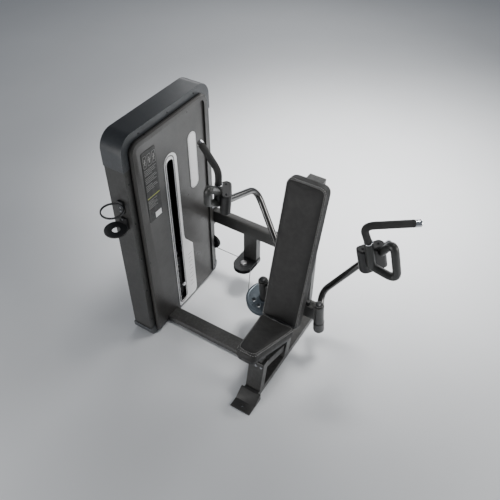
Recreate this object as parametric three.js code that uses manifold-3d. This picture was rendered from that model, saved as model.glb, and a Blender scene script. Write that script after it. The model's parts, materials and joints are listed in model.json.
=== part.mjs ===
import * as THREE from 'three';
import { mergeVertices } from 'three/addons/utils/BufferGeometryUtils.js';
import Module from 'manifold-3d';

const wasm = await Module();
wasm.setup();

const GAP = 0.3;
const TAU = Math.PI * 2;

// weight tower
const BAND_X0 = -133;
const BAND_LENGTH = 750;
const BAND_TOP = 1500;
const BAND_BOTTOM = 8;
const BAND_WALL = 4;
const BAND_RADIUS = 90;
const BAND_LOW_RADIUS = 40;
const FLANGE = 60;
const SKIN = 6;
const CAP_LOW = 1318;
const SHOE_TOP = 71;
const RIM = 43;
const COVER_FACE = 28;
const PANEL_FACE = 17;
const COVER_WALL = 6;
const COVER_LOW = 18;
const RIDGE = 34;

// cover furniture
const SLOT_Y0 = 300;
const SLOT_Y1 = 364;
const SLOT_LOW = 56;
const SLOT_TOP = 1210;
const TRIM_Y0 = 284;
const TRIM_Y1 = 398;
const TRIM_LOW = 26;
const TRIM_TOP = 1243;
const TRIM_RISE = 3;

// weight stack
const STACK_X = -45;
const STACK_Y = 332;
const PLATE_DEPTH = 90;
const PLATE_WIDTH = 320;
const PLATE_HEIGHT = 48;
const PLATE_PITCH = 49;
const PLATE_COUNT = 7;
const RESTING_PLATES = 2;
const STACK_LOW = 96;
const ROD_RADIUS = 10;
const ROD_SPREAD = 115;
const STEM_RADIUS = 13;
const LIFT = 162;

// welded frame
const CENTRE_X = 786;
const TUBE = 100;
const BEAM_LOW = 8;
const BEAM_TOP = 50;
const FLOOR_Y0 = -165;
const FLOOR_Y1 = 788;
const BASE_Y0 = 160;
const BASE_Y1 = 260;
const BACK_Y0 = 738;
const BACK_Z0 = 449;
const BACK_Z1 = 549;
const DROP_X0 = 247;
const POST_X0 = 702;
const LEAN = THREE.MathUtils.degToRad(14.5);

// cable train
const CABLE_R = 2.5;
const CABLE_Z = 234;
const PITCH_R = 49;
const PULLEY_R = 54;
const AXLE_R = 6;
const EXIT = new THREE.Vector3(4, 724, CABLE_Z + PITCH_R);
const GUIDE = new THREE.Vector3(284, 675, CABLE_Z);
const GUARD = 68;
const CAM_R = 112;
const CAM_DISC_R = 122;

// movement arms
const PIVOT_A = 188;
const PIVOT_TOP = new THREE.Vector3(0, 400, 505);
const TILT = THREE.MathUtils.degToRad(10);
const SLEEVE_R = 31;
const SHAFT_R = 14;
const HOUSING = 176;
const HUB_TOP = 1112;
const HUB_LOW = 958;
const HUB_LEAN_X = -0.182;
const HUB_LEAN_Y = -0.152;
const UPRIGHT_Y = 272;
const UPRIGHT_TOP = 1212;
const ARM_R = 19;
const ARM_BEND = 105;
const GRIP_R = 17;
const BAR_R = 12;
const HANDLE_R = 18;
const SOCKET_R = 21;
const GRIP_BEND = 60;
const LOOP_BEND = 46;
const CAP_LENGTH = 32;
// distance out from the seat's centre plane, then Y and Z
const ARM_CORNERS = [[434, 399, 1020], [440, 726, 885], [114, 604, 390]];
const ELBOW = [459, 343, 1026];
const RING = [430, 319, 1184];
const GRIP_CORNER = [400, 281, 1306];
const GRIP_TIP = [598, 418, 1313];
const LOOP_CORNERS = {
  left: [[449, 238, 1106], [395, 173, 1270], [441, 328, 1124]],
  right: [[596, 372, 968], [546, 332, 1233], [482, 392, 1092]],
};

// seat
const SEAT_LENGTH = 371;
const SEAT_HALF_REAR = 118;
const SEAT_HALF_FRONT = 60;

const PAINT = { color: 0x3a3b3c, roughness: 0.5, metalness: 0.4 };
const COVER = { color: 0x454341, roughness: 0.55, metalness: 0.1 };
const CAP = { color: 0x39414a, roughness: 0.5, metalness: 0.1 };
const CHROME = { color: 0xd8d9db, roughness: 0.15, metalness: 1 };
const STEEL = { color: 0x9aa0a6, roughness: 0.35, metalness: 0.9 };
const BLACK = { color: 0x151617, roughness: 0.4, metalness: 0.3 };
const IRON = { color: 0x1b1c1d, roughness: 0.6, metalness: 0.5 };
const RUBBER = { color: 0x3d3d3d, roughness: 0.85, metalness: 0 };
const LEATHER = { color: 0x2d2d2d, roughness: 0.6, metalness: 0 };
const SILVER = { color: 0xd9dadb, roughness: 0.4, metalness: 0.3 };
const NYLON = { color: 0x121212, roughness: 0.5, metalness: 0 };

const part = new THREE.Group();

function add(name, geometry, look) {
  const mesh = new THREE.Mesh(geometry, new THREE.MeshStandardMaterial(look));
  mesh.name = name;
  part.add(mesh);
}

function toSolid(geometry) {
  const plain = geometry.clone();
  plain.deleteAttribute('normal');
  plain.deleteAttribute('uv');
  const merged = mergeVertices(plain, 1e-4);
  const mesh = new wasm.Mesh({
    numProp: 3,
    vertProperties: new Float32Array(merged.attributes.position.array),
    triVerts: new Uint32Array(merged.index.array),
  });
  return new wasm.Manifold(mesh);
}

function fromSolid(solid) {
  const mesh = solid.getMesh();
  const geometry = new THREE.BufferGeometry();
  geometry.setAttribute('position', new THREE.BufferAttribute(mesh.vertProperties, 3));
  geometry.setIndex(new THREE.BufferAttribute(mesh.triVerts, 1));
  return geometry;
}

function cut(base, ...tools) {
  let solid = toSolid(base);
  for (const tool of tools) solid = solid.subtract(toSolid(tool));
  return fromSolid(solid);
}

function fuse(...pieces) {
  let solid = toSolid(pieces[0]);
  for (const piece of pieces.slice(1)) solid = solid.add(toSolid(piece));
  return fromSolid(solid);
}

function keep(base, tool) {
  return fromSolid(toSolid(base).intersect(toSolid(tool)));
}

function box(x0, x1, y0, y1, z0, z1) {
  const geometry = new THREE.BoxGeometry(x1 - x0, y1 - y0, z1 - z0);
  return geometry.translate((x0 + x1) / 2, (y0 + y1) / 2, (z0 + z1) / 2);
}

function roundRect(u0, u1, v0, v1, radii) {
  const [r0, r1, r2, r3] = Array.isArray(radii) ? radii : [radii, radii, radii, radii];
  const shape = new THREE.Shape();
  shape.moveTo(u0 + r0, v0);
  shape.lineTo(u1 - r1, v0);
  shape.absarc(u1 - r1, v0 + r1, r1, -TAU / 4, 0);
  shape.lineTo(u1, v1 - r2);
  shape.absarc(u1 - r2, v1 - r2, r2, 0, TAU / 4);
  shape.lineTo(u0 + r3, v1);
  shape.absarc(u0 + r3, v1 - r3, r3, TAU / 4, TAU / 2);
  shape.lineTo(u0, v0 + r0);
  shape.absarc(u0 + r0, v0 + r0, r0, TAU / 2, TAU * 0.75);
  return shape;
}

function circle(u, v, r) {
  return new THREE.Shape().absarc(u, v, r, 0, TAU);
}

function polygon(points) {
  return new THREE.Shape(points.map(([u, v]) => new THREE.Vector2(u, v)));
}

function prism(shape, depth, segments, bevel) {
  const size = bevel ?? 0;
  return new THREE.ExtrudeGeometry(shape, {
    depth: depth - 2 * size,
    curveSegments: segments,
    bevelEnabled: size > 0,
    bevelThickness: size,
    bevelSize: size,
    bevelOffset: -size,
    bevelSegments: size > 10 ? 2 : 1,
  }).translate(0, 0, size);
}

// shape drawn in (Y, Z), pushed along +X
function alongX(shape, x0, x1, segments = 6, bevel = 0) {
  const turn = new THREE.Matrix4().makeBasis(
    new THREE.Vector3(0, 1, 0),
    new THREE.Vector3(0, 0, 1),
    new THREE.Vector3(1, 0, 0),
  );
  return prism(shape, x1 - x0, segments, bevel).applyMatrix4(turn).translate(x0, 0, 0);
}

// shape drawn in (X, Z), pushed along -Y
function alongY(shape, y0, y1, segments = 6, bevel = 0) {
  const turn = new THREE.Matrix4().makeBasis(
    new THREE.Vector3(1, 0, 0),
    new THREE.Vector3(0, 0, 1),
    new THREE.Vector3(0, -1, 0),
  );
  return prism(shape, y1 - y0, segments, bevel).applyMatrix4(turn).translate(0, y1, 0);
}

// shape drawn in (X, Y), pushed along +Z
function alongZ(shape, z0, z1, segments = 6, bevel = 0) {
  return prism(shape, z1 - z0, segments, bevel).translate(0, 0, z0);
}

function place(geometry, from, direction) {
  const turn = new THREE.Quaternion().setFromUnitVectors(
    new THREE.Vector3(0, 1, 0),
    direction.clone().normalize(),
  );
  return geometry.applyQuaternion(turn).translate(from.x, from.y, from.z);
}

// solid of revolution: profile of [radius, height] pairs along the direction
function turned(profile, from, direction, segments = 24) {
  const points = profile.map(([r, h]) => new THREE.Vector2(r, h));
  return place(new THREE.LatheGeometry(points, segments), from, direction);
}

function rod(from, to, radius, segments = 16) {
  const span = to.clone().sub(from);
  const profile = [[0, 0], [radius, 0], [radius, span.length()], [0, span.length()]];
  return turned(profile, from, span, segments);
}

class Route extends THREE.Curve {
  constructor(points) {
    super();
    this.points = points;
  }

  getUtoTmapping(u) {
    return u;
  }

  getPoint(t, target = new THREE.Vector3()) {
    const last = this.points.length - 1;
    const at = Math.min(Math.max(t, 0), 1) * last;
    const index = Math.min(Math.floor(at), last - 1);
    return target.lerpVectors(this.points[index], this.points[index + 1], at - index);
  }
}

// corner points with a bend radius each; returns the points of the bent centre line
function bent(corners, radius, steps = 6) {
  const points = [corners[0].clone()];
  for (let i = 1; i < corners.length - 1; i += 1) {
    const back = corners[i - 1].clone().sub(corners[i]);
    const next = corners[i + 1].clone().sub(corners[i]);
    const half = back.angleTo(next) / 2;
    const reach = Math.min(radius / Math.tan(half), back.length() * 0.48, next.length() * 0.48);
    const start = corners[i].clone().addScaledVector(back.normalize(), reach);
    const end = corners[i].clone().addScaledVector(next.normalize(), reach);
    const curve = new THREE.QuadraticBezierCurve3(start, corners[i], end);
    points.push(...curve.getPoints(steps));
  }
  points.push(corners[corners.length - 1].clone());
  return points;
}

function tube(points, radius, segments = 12) {
  const section = new THREE.Shape().absarc(0, 0, radius, 0, TAU);
  return new THREE.ExtrudeGeometry(section, {
    steps: points.length - 1,
    extrudePath: new Route(points),
    curveSegments: segments,
    bevelEnabled: false,
  });
}

const V = (x, y, z) => new THREE.Vector3(x, y, z);
const UP = V(0, 0, 1);
const RIGHTWARD = V(1, 0, 0);
const REARWARD = V(0, 1, 0);

function bandShape(grow, low, top) {
  const r = BAND_RADIUS + grow;
  const s = BAND_LOW_RADIUS + grow;
  return roundRect(-grow, BAND_LENGTH + grow, low - grow, top + grow, [s, s, r, r]);
}

const coverShape = (inset) => roundRect(
  RIM + 0.5 + inset,
  BAND_LENGTH - RIM - 0.5 - inset,
  COVER_LOW + inset,
  BAND_TOP - RIM - 0.5 - inset,
  [Math.max(26 - inset, 8), Math.max(96 - inset, 30), Math.max(62 - inset, 20), Math.max(62 - inset, 20)],
);

const fieldShape = () => roundRect(
  RIM + RIDGE, BAND_LENGTH - RIM - RIDGE, -COVER_LOW, BAND_TOP - RIM - RIDGE, [4, 4, 30, 30],
);

const slotShape = (grow) => roundRect(
  SLOT_Y0 - grow, SLOT_Y1 + grow, SLOT_LOW - grow, SLOT_TOP + grow,
  [10 + grow, 10 + grow, 30 + grow, 30 + grow],
);

const NOTCH = box(-10, 60, BASE_Y0 - 4, BASE_Y1 + 4, -5, BEAM_TOP + 4);

function buildTower() {
  const exitWindow = box(-60, 10, EXIT.y - 14, EXIT.y + 14, CABLE_Z - 12, EXIT.z + PULLEY_R + 8);
  const window = roundRect(FLANGE, BAND_LENGTH - FLANGE, FLANGE, BAND_TOP - FLANGE, 40);
  add('tower_band', cut(
    alongX(bandShape(0, BAND_BOTTOM, BAND_TOP), BAND_X0, 0, 8),
    alongX(bandShape(-BAND_WALL, BAND_BOTTOM, BAND_TOP), BAND_X0 - 5, -BAND_WALL, 8),
    alongX(window, -20, 20, 4),
    exitWindow,
    box(BAND_X0 - 5, 5, BASE_Y0, BASE_Y1, -5, BEAM_TOP + 4),
  ), PAINT);
  const wrap = alongX(bandShape(SKIN, BAND_BOTTOM, BAND_TOP), BAND_X0 - 1.5, BAND_WALL, 8, 1.5);
  const bore = alongX(bandShape(GAP, BAND_BOTTOM, BAND_TOP), BAND_X0 - 40, GAP, 8);
  const faceHole = alongX(coverShape(-0.5), -10, 20, 6);
  const all = [-60 + BAND_X0, 60, -60, BAND_LENGTH + 60];
  add('top_cap', keep(cut(wrap, bore, faceHole), box(...all, CAP_LOW, BAND_TOP + 60)), CAP);
  const shoeBody = box(BAND_X0 - SKIN, BAND_WALL, -SKIN, BAND_LENGTH + SKIN, 0, SHOE_TOP);
  const shoeOuter = alongX(bandShape(SKIN, SKIN, BAND_TOP), BAND_X0 - SKIN, BAND_WALL, 8);
  const shoeBore = alongX(bandShape(GAP, BAND_BOTTOM, BAND_TOP), BAND_X0 - GAP, GAP, 8);
  add('tower_shoe', cut(keep(shoeOuter, shoeBody), shoeBore, faceHole, NOTCH), CAP);
  const panel = roundRect(4.6, BAND_LENGTH - 4.6, BAND_BOTTOM + 5, BAND_TOP - 4.6, [36, 36, 85, 85]);
  add('rear_panel', alongX(panel, BAND_X0 + 2, BAND_X0 + 7, 8), COVER);

  const holes = [];
  holes.push(alongX(fieldShape(), PANEL_FACE, 60, 6));
  holes.push(alongX(coverShape(COVER_WALL), -20, PANEL_FACE - COVER_WALL, 6));
  holes.push(alongX(slotShape(0), -20, 60, 8));
  const lowBeam = box(-20, 60, BASE_Y0 - 3, BASE_Y1 + 3, 0, BEAM_TOP + 3);
  add('front_cover', cut(alongX(coverShape(0), GAP, COVER_FACE, 8, 8), ...holes, lowBeam), COVER);
}

function buildTrim() {
  const outline = new THREE.Shape();
  const r = (TRIM_Y1 - TRIM_Y0) / 2;
  outline.moveTo(TRIM_Y0, TRIM_LOW + 14);
  outline.lineTo(TRIM_Y0 + 14, TRIM_LOW);
  outline.lineTo(TRIM_Y1 + 66, TRIM_LOW);
  outline.lineTo(TRIM_Y1 + 82, TRIM_LOW + 26);
  outline.lineTo(TRIM_Y1 + 78, 474);
  outline.lineTo(TRIM_Y1 + 8, 562);
  outline.lineTo(TRIM_Y1, 600);
  outline.lineTo(TRIM_Y1, TRIM_TOP - r);
  outline.absarc(TRIM_Y0 + r, TRIM_TOP - r, r, 0, TAU / 2);
  outline.lineTo(TRIM_Y0, TRIM_LOW + 14);
  const face = alongX(outline, PANEL_FACE + GAP, PANEL_FACE + TRIM_RISE, 10, 1);
  add('slot_trim', cut(face, alongX(slotShape(0.2), -20, 60, 8)), SILVER);
  const pill = roundRect(508, 584, 885, 1270, 37);
  add('name_plate', alongX(pill, PANEL_FACE + GAP, PANEL_FACE + 3, 6), SILVER);
  const card = roundRect(118, 232, 900, 1365, 8);
  add('instruction_card', alongX(card, PANEL_FACE + GAP, PANEL_FACE + 1.8, 3), BLACK);
}

function plateAt(index) {
  const z0 = STACK_LOW + index * PLATE_PITCH;
  const x0 = STACK_X - PLATE_DEPTH / 2;
  const outline = roundRect(
    x0, x0 + PLATE_DEPTH, STACK_Y - PLATE_WIDTH / 2, STACK_Y + PLATE_WIDTH / 2, 8,
  );
  for (const side of [-1, 1]) {
    outline.holes.push(circle(STACK_X, STACK_Y + side * ROD_SPREAD, ROD_RADIUS + 3));
  }
  outline.holes.push(circle(STACK_X, STACK_Y, STEM_RADIUS + 3));
  const slot = box(STACK_X - 10, x0 + PLATE_DEPTH + 5, STACK_Y - 8, STACK_Y + 8, z0 + 14, z0 + 32);
  return cut(alongZ(outline, z0, z0 + PLATE_HEIGHT, 4), slot);
}

function buildStack() {
  const floor = BAND_BOTTOM + BAND_WALL + 1;
  const bed = box(-120, -6, 80, BAND_LENGTH - 80, floor + 45, floor + 65);
  add('stack_bed', fuse(
    bed,
    box(-120, -6, 80, 130, floor, floor + 50),
    box(-120, -6, BAND_LENGTH - 130, BAND_LENGTH - 80, floor, floor + 50),
  ), IRON);
  const bedTop = floor + 65;
  const head = HEAD_Z;
  for (const side of [-1, 1]) {
    const y = STACK_Y + side * ROD_SPREAD;
    const tag = side < 0 ? 'front' : 'rear';
    add(`guide_rod_${tag}`, rod(
      V(STACK_X, y, bedTop + GAP), V(STACK_X, y, head - GAP), ROD_RADIUS, 12,
    ), CHROME);
  }
  for (let i = 0; i < PLATE_COUNT; i += 1) {
    const tag = String(PLATE_COUNT - i).padStart(2, '0');
    add(`weight_plate_${tag}`, plateAt(i), IRON);
  }
  const top = STACK_LOW + PLATE_COUNT * PLATE_PITCH;
  const stemLow = STACK_LOW + 3;
  const carrier = roundRect(
    STACK_X - 30, STACK_X + 30, STACK_Y - 150, STACK_Y + 150, 8,
  );
  for (const side of [-1, 1]) {
    carrier.holes.push(circle(STACK_X, STACK_Y + side * ROD_SPREAD, ROD_RADIUS + 3));
  }
  const stem = rod(V(STACK_X, STACK_Y, stemLow), V(STACK_X, STACK_Y, top + 60), STEM_RADIUS, 12);
  const pinHoles = [];
  for (let i = 0; i < PLATE_COUNT; i += 1) {
    const z = STACK_LOW + i * PLATE_PITCH + PLATE_HEIGHT / 2;
    pinHoles.push(rod(V(STACK_X - 40, STACK_Y, z), V(STACK_X + 60, STACK_Y, z), 5.5, 8));
  }
  const cableBore = rod(V(STACK_X, STACK_Y, top + 60 - LIFT), V(STACK_X, STACK_Y, top + 70), 3.8, 8);
  const body = fuse(alongZ(carrier, top, top + 26, 4), stem);
  add('selector_stem', cut(body, ...pinHoles, cableBore), STEEL);
  const pinZ = STACK_LOW + RESTING_PLATES * PLATE_PITCH + PLATE_HEIGHT / 2;
  add('selector_pin', turned(
    [[0, 0], [5, 0], [5, 68], [12, 70], [14, 76], [14, 92], [11, 96], [0, 96]],
    V(STACK_X - 12, STACK_Y, pinZ), RIGHTWARD, 16,
  ), CHROME);
}

function pulley(centre, axis, outer, pitch, width) {
  const h = width / 2;
  const profile = [
    [6.3, -h], [outer, -h], [outer, -h + 2], [pitch - 3.3, -3.3], [pitch - 3.3, 3.3],
    [outer, h - 2], [outer, h], [6.3, h], [6.3, -h],
  ];
  return turned(profile, centre, axis, 20);
}

const TOP_PULLEY_Z = BAND_TOP - 66;
const HEAD_Z = BAND_TOP - 142;

function buildCable() {
  const width = 18;
  const half = width / 2 + 1;
  const pieces = [box(-120, -6, 80, BAND_LENGTH - 80, HEAD_Z, HEAD_Z + 18)];
  for (const [name, y] of [['front', STACK_Y + PITCH_R], ['rear', EXIT.y - PITCH_R]]) {
    const centre = V(STACK_X, y, TOP_PULLEY_Z);
    add(`top_pulley_${name}`, pulley(centre, RIGHTWARD, PULLEY_R, PITCH_R, width), NYLON);
    const cheek = roundRect(y - 14, y + 14, HEAD_Z + 10, TOP_PULLEY_Z + 14, 4);
    for (const side of [-1, 1]) {
      const x = STACK_X + side * (half + 2);
      pieces.push(alongX(cheek, x - 2, x + 2, 3));
    }
    const near = V(STACK_X - half - 2, y, TOP_PULLEY_Z);
    const far = V(STACK_X + half + 2, y, TOP_PULLEY_Z);
    pieces.push(rod(near, far, AXLE_R, 10));
  }
  const ropeWay = box(STACK_X - 6, STACK_X + 6, STACK_Y - 8, STACK_Y + 8, HEAD_Z - 5, HEAD_Z + 30);
  add('stack_head', cut(fuse(...pieces), ropeWay), IRON);
  add('exit_pulley', pulley(EXIT, REARWARD, PULLEY_R, PITCH_R, width), NYLON);
  const y = EXIT.y + half;
  const low = EXIT.z - 14;
  const high = EXIT.z + 14;
  const axle = rod(V(EXIT.x, EXIT.y - half - 1, EXIT.z), V(EXIT.x, y + 1, EXIT.z), AXLE_R, 10);
  const arm = alongY(roundRect(-95, EXIT.x + 14, low, high, 6), y, y + 4, 4);
  const foot = box(-95, -91, EXIT.y - 20, y + 2, low, high);
  add('exit_pulley_bracket', fuse(arm, axle, foot), IRON);
  add('guide_pulley', pulley(GUIDE, UP, PULLEY_R, PITCH_R, width), NYLON);
}

function camCentre() {
  const axis = pivotAxis();
  return V(CENTRE_X - PIVOT_A, PIVOT_TOP.y, PIVOT_TOP.z).addScaledVector(axis, -200);
}

function pivotAxis() {
  return V(0, -Math.sin(TILT), Math.cos(TILT));
}

function stackCable() {
  const points = [];
  const stemTop = STACK_LOW + PLATE_COUNT * PLATE_PITCH + 60;
  points.push(V(STACK_X, STACK_Y, stemTop + GAP));
  const arc = (centre, a, b, from, to, radius, steps) => {
    for (let i = 0; i <= steps; i += 1) {
      const angle = from + (to - from) * i / steps;
      const p = centre.clone();
      p.addScaledVector(a, Math.cos(angle) * radius).addScaledVector(b, Math.sin(angle) * radius);
      points.push(p);
    }
  };
  const q = TAU / 4;
  const topFront = V(STACK_X, STACK_Y + PITCH_R, TOP_PULLEY_Z);
  const topRear = V(STACK_X, EXIT.y - PITCH_R, TOP_PULLEY_Z);
  arc(topFront, REARWARD, UP, 2 * q, q, PITCH_R, 6);
  arc(topRear, REARWARD, UP, q, 0, PITCH_R, 6);
  arc(EXIT, RIGHTWARD, UP, 2 * q, 3 * q, PITCH_R, 6);
  const cam = camCentre();
  const axis = pivotAxis();
  const side = V(-1, 0, 0);
  const fore = side.clone().cross(axis).negate();
  const leave = THREE.MathUtils.degToRad(61);
  arc(GUIDE, REARWARD, RIGHTWARD, 0, leave, PITCH_R, 5);
  arc(cam, side, fore, 0.5, 2.3, CAM_R, 10);
  return points;
}


function buildFrame() {
  const x0 = CENTRE_X - TUBE / 2;
  const x1 = CENTRE_X + TUBE / 2;
  const rest = BEAM_TOP + GAP;
  add('base_beam', box(BAND_WALL + GAP, x0 - GAP, BASE_Y0, BASE_Y1, BEAM_LOW, BEAM_TOP), PAINT);
  add('floor_beam', box(x0, x1, -35, FLOOR_Y1, BEAM_LOW, BEAM_TOP), PAINT);
  const toe = polygon([
    [FLOOR_Y0, 0], [-35.3, 0], [-35.3, BEAM_TOP], [-44, BEAM_TOP], [-104, 8], [FLOOR_Y0, 8],
  ]);
  const toeHole = rod(V(CENTRE_X, FLOOR_Y0 + 30, -5), V(CENTRE_X, FLOOR_Y0 + 30, 20), 7, 12);
  add('front_foot', cut(alongX(toe, CENTRE_X - 66, CENTRE_X + 66), toeHole), PAINT);
  add('rear_foot', box(x0 - 20, x1 + 20, FLOOR_Y1 - 60, FLOOR_Y1 + 12, 0, BEAM_LOW - GAP), RUBBER);
  const post = polygon([[-19, rest], [32, rest], [72, 262], [21, 262]]);
  const rail = polygon([[60, 240], [50, 187], [283.5, 97], [296.6, 147.5]]);
  add('front_post', fuse(alongX(post, x0, x1), alongX(rail, x0 + 10, x1 - 10)), PAINT);
  const k = Math.tan(LEAN);
  const rise = UPRIGHT_TOP - rest;
  const mast = polygon([
    [UPRIGHT_Y, rest], [UPRIGHT_Y + 62, rest],
    [UPRIGHT_Y + 62 + k * rise, UPRIGHT_TOP], [UPRIGHT_Y + k * rise, UPRIGHT_TOP],
  ]);
  add('back_upright', alongX(mast, x0, x1), PAINT);
  add('rear_post', fuse(
    box(POST_X0, POST_X0 + 64, BACK_Y0, BACK_Y0 + 50, rest, BACK_Z1),
    box(POST_X0 - 10, x1, BACK_Y0 - 10, BACK_Y0 + 50, rest, rest + 8),
  ), PAINT);
  add('upper_beam', fuse(
    alongX(roundRect(BACK_Y0, BACK_Y0 + 50, BACK_Z0, BACK_Z1, 8), GAP, POST_X0 - GAP, 3),
    box(GAP, 7, BAND_LENGTH - 42, BACK_Y0 + 50, BACK_Z0 - 20, BACK_Z1 + 20),
    box(DROP_X0, DROP_X0 + TUBE, BACK_Y0, BACK_Y0 + 50, GUIDE.z + 17, BACK_Z0 + 10),
  ), PAINT);
  const guard = roundRect(
    GUIDE.x - GUARD, GUIDE.x + GUARD, GUIDE.y - GUARD, BACK_Y0 + 50, [66, 66, 6, 6],
  );
  const top = GUIDE.z + 17 - GAP;
  const bracket = fuse(
    alongZ(guard, top - 5, top, 8),
    alongZ(guard, GUIDE.z - 17, GUIDE.z - 12, 8),
    box(GUIDE.x - GUARD, GUIDE.x + GUARD, BACK_Y0 + 6, BACK_Y0 + 48, GUIDE.z - 14, top - 2),
    rod(V(GUIDE.x, GUIDE.y, GUIDE.z - 22), V(GUIDE.x, GUIDE.y, top + 4), 6, 10),
    turned([[0, 0], [24, 0], [24, 10], [19, 14], [0, 14]], V(GUIDE.x, GUIDE.y, top - 1), UP, 18),
  );
  add('guide_bracket', bracket, BLACK);
}

function axisPoint(side, s) {
  return V(CENTRE_X + side * PIVOT_A, PIVOT_TOP.y, PIVOT_TOP.z).addScaledVector(pivotAxis(), -s);
}

function buildPivot(side, tag) {
  const at = (s) => axisPoint(side, s);
  const corner = (s, off) => {
    const p = at(s).addScaledVector(V(0, Math.cos(TILT), Math.sin(TILT)), off);
    return [p.y, p.z];
  };
  const web = polygon([corner(150, -20), corner(150, 20), corner(30, 20), corner(30, -20)]);
  const inner = CENTRE_X + side * (TUBE / 2 + GAP);
  const outer = CENTRE_X + side * PIVOT_A;
  const bridge = alongX(web, Math.min(inner, outer), Math.max(inner, outer));
  const body = rod(at(HOUSING), at(0), SLEEVE_R, 24);
  const bore = rod(at(HOUSING + 20), at(-20), SHAFT_R + GAP, 16);
  const pinAt = V(CENTRE_X + side * 118, 0, 0);
  const base = at(40);
  pinAt.setY(base.y).setZ(base.z);
  const drillLow = pinAt.clone().addScaledVector(pivotAxis(), -90);
  const drillTop = pinAt.clone().addScaledVector(pivotAxis(), 40);
  const drill = rod(drillLow, drillTop, 6, 10);
  add(`pivot_bracket_${tag}`, cut(fuse(bridge, body), bore, drill), PAINT);
  add(`start_pin_${tag}`, turned(
    [[0, -80], [5.6, -80], [5.6, 10.5], [9, 11], [13, 16], [13, 26], [8, 31], [0, 31]],
    pinAt, pivotAxis(), 14,
  ), BLACK);
  const low = side > 0 ? HOUSING + GAP : 222;
  const shaft = fuse(
    rod(at(264), at(-4), SHAFT_R, 16),
    rod(at(-GAP), at(-12), 24, 20),
    rod(at(262), at(low), 34, 20),
  );
  add(`pivot_shaft_${tag}`, shaft, PAINT);
}

function outward(side, [a, y, z]) {
  return V(CENTRE_X + side * a, y, z);
}

function hubBody(side, grow) {
  const phi = THREE.MathUtils.degToRad(56);
  const across = 31 + grow;
  const long = 80 + grow;
  const shape = roundRect(-long, long, -across, across, across);
  const height = HUB_TOP - HUB_LOW + 2 * grow;
  const geometry = prism(shape, height, 6, grow > 0 ? 0 : 6);
  const turn = new THREE.Matrix4().makeRotationZ(side > 0 ? phi : Math.PI - phi);
  const lean = new THREE.Matrix4().set(
    1, 0, side * HUB_LEAN_X, CENTRE_X + side * 453,
    0, 1, HUB_LEAN_Y, 406,
    0, 0, 1, HUB_LOW - grow,
    0, 0, 0, 1,
  );
  return geometry.applyMatrix4(turn).applyMatrix4(lean);
}

function buildArm(side, tag) {
  const p = (corner) => outward(side, corner);
  const path = bent([...ARM_CORNERS.map(p), axisPoint(side, 242)], ARM_BEND, 7);
  const shell = rod(axisPoint(side, 330), axisPoint(side, 150), 34 + GAP, 20);
  const nest = hubBody(side, GAP);
  add(`arm_tube_${tag}`, cut(tube(path, ARM_R, 6), shell, nest), BLACK);
  add(`handle_hub_${tag}`, hubBody(side, 0), NYLON);
  const elbow = p(ELBOW);
  const ring = p(RING);
  const corner = p(GRIP_CORNER);
  const tip = p(GRIP_TIP);
  const lift = ring.clone().sub(elbow).normalize();
  const along = corner.clone().sub(ring).normalize();
  const reach = tip.clone().sub(corner).normalize();
  const up = (distance) => elbow.clone().addScaledVector(lift, distance);
  const past = (distance) => tip.clone().addScaledVector(reach, distance);
  const height = ring.distanceTo(elbow);

  const loop = tube(bent([elbow, ...LOOP_CORNERS[tag].map(p)], LOOP_BEND, 5), HANDLE_R, 6);
  const socketHole = rod(up(80), up(height + 4), BAR_R + 2 * GAP, 16);
  const socket = rod(elbow, ring, SOCKET_R, 20);
  add(`handle_frame_${tag}`, cut(fuse(socket, loop), socketHole, nest), PAINT);

  const barCorners = [up(84), ring, corner, past(CAP_LENGTH)];
  const bar = tube(bent(barCorners, GRIP_BEND, 5), BAR_R, 4);
  const cap = rod(past(GAP), past(CAP_LENGTH), GRIP_R, 16);
  const collar = rod(up(height + GAP), up(height + 8), SOCKET_R - 1, 16);
  add(`grip_bar_${tag}`, fuse(bar, cap, collar), CHROME);

  const sleevePath = [ring.clone().addScaledVector(along, 12), corner, tip];
  const sleeve = tube(bent(sleevePath, GRIP_BEND, 5), GRIP_R, 6);
  const borePath = bent([up(84), ring, corner, past(CAP_LENGTH + 20)], GRIP_BEND, 5);
  add(`grip_sleeve_${tag}`, cut(sleeve, tube(borePath, BAR_R + 4 * GAP, 4)), RUBBER);
}

function buildCam() {
  const centre = camCentre();
  const axis = pivotAxis();
  const h = 20;
  const profile = [
    [0, -h], [CAM_DISC_R - 6, -h], [CAM_DISC_R, -h + 4], [CAM_DISC_R, -17],
    [CAM_R - 4, -9], [CAM_R - 4, 6], [CAM_DISC_R, 12], [CAM_DISC_R, h - 4], [CAM_DISC_R - 6, h], [0, h],
  ];
  const disc = turned(profile, centre, axis, 36);
  const bore = rod(axisPoint(-1, 320), axisPoint(-1, 150), SHAFT_R + GAP, 16);
  const corners = ARM_CORNERS.slice(1).map((corner) => outward(-1, corner));
  const path = bent([...corners, axisPoint(-1, 242)], ARM_BEND, 8);
  const run = stackCable().slice(-12);
  const tools = [bore, tube(path, ARM_R + 4, 6), rod(run[0], run[1], CABLE_R + 2, 8)];
  for (const angle of [0.75, 1.5, 2.25, 3.0]) {
    const side = V(-Math.cos(angle), 0, 0);
    side.addScaledVector(V(0, -Math.cos(TILT), -Math.sin(TILT)), Math.sin(angle));
    const at = centre.clone().addScaledVector(side, 72);
    tools.push(rod(at.clone().addScaledVector(axis, -40), at.clone().addScaledVector(axis, 40), 15, 12));
  }
  add('cam_wheel', cut(disc, ...tools), STEEL);
}

function basis(origin, y, z) {
  const turn = new THREE.Matrix4().makeBasis(V(1, 0, 0), y, z);
  return turn.setPosition(origin);
}

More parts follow.
